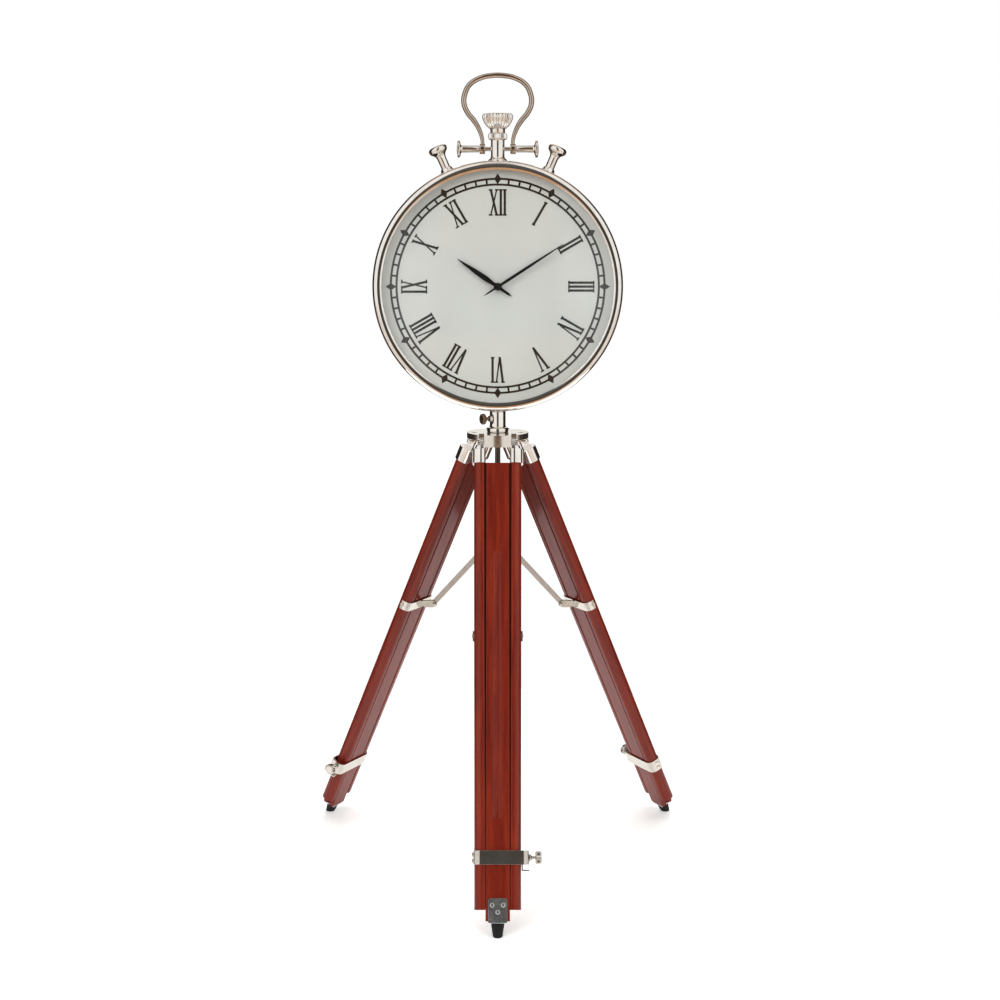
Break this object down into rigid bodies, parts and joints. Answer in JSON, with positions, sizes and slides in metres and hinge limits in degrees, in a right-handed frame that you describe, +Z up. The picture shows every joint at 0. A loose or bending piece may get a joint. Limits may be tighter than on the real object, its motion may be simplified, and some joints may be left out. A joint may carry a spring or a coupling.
{
  "type": "tripod floor clock",
  "caption": "Pocket-watch shaped floor clock with crown, bow and pushers, on a folding wooden tripod with sliding legs, braces and rubber feet.",
  "frame": {"origin": "on the floor, at the centre of the bounding box's bottom face", "axes": "+Z up the pole, the dial and the front leg face -Y, +X is to the viewer's right"},
  "size_m": [0.5538, 0.5037, 1.1438],
  "materials": {
    "polished_nickel": "polished nickel plate",
    "dark_steel": "dark polished steel",
    "dark_bronze": "dark bronze-grey plate",
    "lacquered_red_wood": "red-brown gloss lacquer",
    "dial_paint": "satin light grey paint",
    "hand_paint": "satin black paint",
    "clear_glass": "clear flat glass",
    "black_rubber": "matt black rubber",
    "movement_plastic": "matt black moulding",
    "battery_sleeve": "printed steel sleeve"
  },
  "bodies": {
    "tripod_head": {"tripod_head": "polished_nickel", "socket_tube": "polished_nickel"},
    "front_leg": {"front_leg_hinge_bolt": "polished_nickel", "front_leg_left_rail": "lacquered_red_wood", "front_leg_right_rail": "lacquered_red_wood", "front_leg_left_cap": "polished_nickel", "front_leg_right_cap": "polished_nickel", "front_leg_ankle_clamp": "dark_steel", "front_leg_brace_clamp": "polished_nickel"},
    "front_leg_slider": {"front_leg_centre_rail": "lacquered_red_wood", "front_leg_foot_plate": "dark_steel", "front_leg_rubber_foot": "black_rubber"},
    "front_leg_ankle_screw": {"front_leg_ankle_screw": "polished_nickel"},
    "front_leg_strut": {"front_leg_strut": "polished_nickel"},
    "right_leg": {"right_leg_hinge_bolt": "polished_nickel", "right_leg_left_rail": "lacquered_red_wood", "right_leg_right_rail": "lacquered_red_wood", "right_leg_left_cap": "polished_nickel", "right_leg_right_cap": "polished_nickel", "right_leg_ankle_clamp": "dark_steel", "right_leg_brace_clamp": "polished_nickel"},
    "right_leg_slider": {"right_leg_centre_rail": "lacquered_red_wood", "right_leg_foot_plate": "dark_steel", "right_leg_rubber_foot": "black_rubber"},
    "right_leg_ankle_screw": {"right_leg_ankle_screw": "polished_nickel"},
    "right_leg_strut": {"right_leg_strut": "polished_nickel"},
    "left_leg": {"left_leg_hinge_bolt": "polished_nickel", "left_leg_left_rail": "lacquered_red_wood", "left_leg_right_rail": "lacquered_red_wood", "left_leg_left_cap": "polished_nickel", "left_leg_right_cap": "polished_nickel", "left_leg_ankle_clamp": "dark_steel", "left_leg_brace_clamp": "polished_nickel"},
    "left_leg_slider": {"left_leg_centre_rail": "lacquered_red_wood", "left_leg_foot_plate": "dark_steel", "left_leg_rubber_foot": "black_rubber"},
    "left_leg_ankle_screw": {"left_leg_ankle_screw": "polished_nickel"},
    "left_leg_strut": {"left_leg_strut": "polished_nickel"},
    "spreader_hub": {"spreader_hub": "polished_nickel"},
    "socket_screw": {"socket_screw": "dark_bronze"},
    "clock": {"case_band": "polished_nickel", "bezel": "polished_nickel", "glass": "clear_glass", "glass_ring": "polished_nickel", "dial": "dial_paint", "movement_case": "movement_plastic", "battery": "battery_sleeve", "dial_nut": "polished_nickel", "back_cover": "polished_nickel", "crown_stem": "polished_nickel", "bow_bar": "polished_nickel", "case_stem": "polished_nickel"},
    "minute_hand": {"minute_hand": "hand_paint"},
    "hour_hand": {"hour_hand": "hand_paint"},
    "time_set_knob": {"time_set_knob": "movement_plastic"},
    "crown_knob": {"crown_knob": "polished_nickel"},
    "bow": {"bow": "polished_nickel"},
    "battery_door": {"battery_door": "polished_nickel"},
    "pusher_left": {"pusher_left": "polished_nickel"},
    "pusher_right": {"pusher_right": "polished_nickel"}
  },
  "joints": [
    {"name": "front_leg_fold", "type": "hinge", "parent": "tripod_head", "child": "front_leg", "pos_m": [0, 0.03463, 0.6163], "axis": [1, 0, 0], "range_deg": [0, 20]},
    {"name": "front_leg_slide", "type": "slide", "parent": "front_leg", "child": "front_leg_slider", "axis": [0, -0.4115, -0.9114], "range_m": [0, 0.3]},
    {"name": "front_leg_ankle_screw_turn", "type": "hinge", "parent": "front_leg", "child": "front_leg_ankle_screw", "pos_m": [0, -0.20261, 0.09087], "axis": [1, 0, 0], "range_deg": [0, 360]},
    {"name": "front_leg_strut_turn", "type": "hinge", "parent": "front_leg", "child": "front_leg_strut", "pos_m": [0, -0.04701, 0.35966], "axis": [1, 0, 0], "range_deg": [0, 22.8]},
    {"name": "right_leg_fold", "type": "hinge", "parent": "tripod_head", "child": "right_leg", "pos_m": [0.02659, 0.08068, 0.6163], "axis": [-0.5, 0.866, 0], "range_deg": [0, 20]},
    {"name": "right_leg_slide", "type": "slide", "parent": "right_leg", "child": "right_leg_slider", "axis": [0.3564, 0.2058, -0.9114], "range_m": [0, 0.3]},
    {"name": "right_leg_ankle_screw_turn", "type": "hinge", "parent": "right_leg", "child": "right_leg_ankle_screw", "pos_m": [0.23205, 0.1993, 0.09087], "axis": [-0.5, 0.866, 0], "range_deg": [0, 360]},
    {"name": "right_leg_strut_turn", "type": "hinge", "parent": "right_leg", "child": "right_leg_strut", "pos_m": [0.09729, 0.12151, 0.35966], "axis": [-0.5, 0.866, 0], "range_deg": [0, 22.8]},
    {"name": "left_leg_fold", "type": "hinge", "parent": "tripod_head", "child": "left_leg", "pos_m": [-0.02659, 0.08068, 0.6163], "axis": [-0.5, -0.866, 0], "range_deg": [0, 20]},
    {"name": "left_leg_slide", "type": "slide", "parent": "left_leg", "child": "left_leg_slider", "axis": [-0.3564, 0.2058, -0.9114], "range_m": [0, 0.3]},
    {"name": "left_leg_ankle_screw_turn", "type": "hinge", "parent": "left_leg", "child": "left_leg_ankle_screw", "pos_m": [-0.23205, 0.1993, 0.09087], "axis": [-0.5, -0.866, 0], "range_deg": [0, 360]},
    {"name": "left_leg_strut_turn", "type": "hinge", "parent": "left_leg", "child": "left_leg_strut", "pos_m": [-0.09729, 0.12151, 0.35966], "axis": [-0.5, -0.866, 0], "range_deg": [0, 22.8]},
    {"name": "hub_slide", "type": "slide", "parent": "tripod_head", "child": "spreader_hub", "axis": [0, 0, 1], "range_m": [0, 0.0268]},
    {"name": "socket_screw_turn", "type": "hinge", "parent": "tripod_head", "child": "socket_screw", "pos_m": [0, 0.06533, 0.6485], "axis": [-0.866, -0.5, 0], "range_deg": [0, 360]},
    {"name": "clock_swivel", "type": "hinge", "parent": "tripod_head", "child": "clock", "pos_m": [0, 0.06533, 0.8404], "axis": [0, 0, 1], "continuous": true},
    {"name": "minute_turn", "type": "hinge", "parent": "clock", "child": "minute_hand", "pos_m": [0, 0.06533, 0.8404], "axis": [0, 1, 0], "continuous": true},
    {"name": "hour_turn", "type": "hinge", "parent": "clock", "child": "hour_hand", "pos_m": [0, 0.06533, 0.8404], "axis": [0, 1, 0], "continuous": true},
    {"name": "time_set_turn", "type": "hinge", "parent": "clock", "child": "time_set_knob", "pos_m": [0, 0.06663, 0.8534], "axis": [0, 1, 0], "continuous": true},
    {"name": "crown_turn", "type": "hinge", "parent": "clock", "child": "crown_knob", "pos_m": [0, 0.06533, 0.8404], "axis": [0, 0, 1], "continuous": true},
    {"name": "bow_swing", "type": "hinge", "parent": "clock", "child": "bow", "pos_m": [0, 0.06533, 1.0363], "axis": [1, 0, 0], "range_deg": [-90, 90]},
    {"name": "door_swing", "type": "hinge", "parent": "clock", "child": "battery_door", "pos_m": [-0.0545, 0.10123, 0.8404], "axis": [0, 0, 1], "range_deg": [0, 110]},
    {"name": "pusher_left_press", "type": "slide", "parent": "clock", "child": "pusher_left", "axis": [0.4019, 0, -0.9157], "range_m": [0, 0.0025], "stiffness_N_per_m": 600, "springref_m": -0.0015},
    {"name": "pusher_right_press", "type": "slide", "parent": "clock", "child": "pusher_right", "axis": [-0.4019, 0, -0.9157], "range_m": [0, 0.0025], "stiffness_N_per_m": 600, "springref_m": -0.0015}
  ],
  "couplings": [
    {"joint": "front_leg_strut_turn", "follows": "front_leg_fold", "ratio": 1.1167},
    {"joint": "right_leg_strut_turn", "follows": "front_leg_fold", "ratio": 1.1167},
    {"joint": "left_leg_strut_turn", "follows": "front_leg_fold", "ratio": 1.1167},
    {"joint": "right_leg_fold", "follows": "front_leg_fold", "ratio": 1},
    {"joint": "left_leg_fold", "follows": "front_leg_fold", "ratio": 1},
    {"joint": "hub_slide", "follows": "front_leg_fold", "m_per_rad": 0.075261},
    {"joint": "hour_turn", "follows": "minute_turn", "ratio": 0.083333},
    {"joint": "time_set_turn", "follows": "minute_turn", "ratio": 1}
  ]
}
